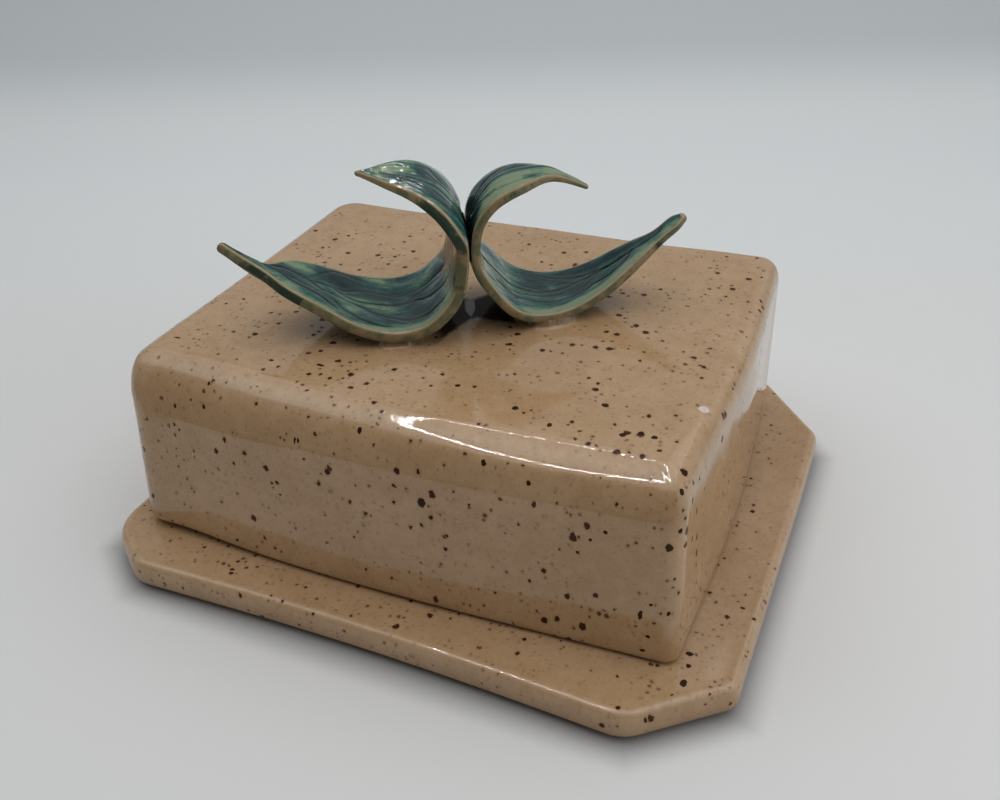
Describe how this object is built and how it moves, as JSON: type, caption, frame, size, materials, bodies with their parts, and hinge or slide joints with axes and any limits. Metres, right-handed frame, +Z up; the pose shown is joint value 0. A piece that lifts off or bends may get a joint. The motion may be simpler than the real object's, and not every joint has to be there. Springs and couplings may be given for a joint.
{
  "type": "butter dish",
  "caption": "Slab-built stoneware butter dish: clipped-corner tray, box lid that lifts off, and a handle of two curled clay leaves standing back to back.",
  "frame": {"origin": "on the table plane, under the middle of the tray's footprint", "axes": "+X along the tray's long side, +Y towards the back, +Z up, the way the lid lifts"},
  "size_m": [0.1719, 0.1523, 0.1009],
  "materials": {
    "speckled_glaze": "gloss",
    "leaf_glaze": "gloss",
    "slip": "gloss"
  },
  "bodies": {
    "tray": {"tray": "speckled_glaze"},
    "lid": {"lid": "speckled_glaze", "left_leaf": "leaf_glaze", "right_leaf": "leaf_glaze", "left_leaf_slip": "slip", "right_leaf_slip": "slip", "leaf_seam_slip": "slip"}
  },
  "joints": [
    {"name": "lid_lift", "type": "slide", "parent": "tray", "child": "lid", "axis": [0, 0, 1], "range_m": [0, 0.12]}
  ]
}
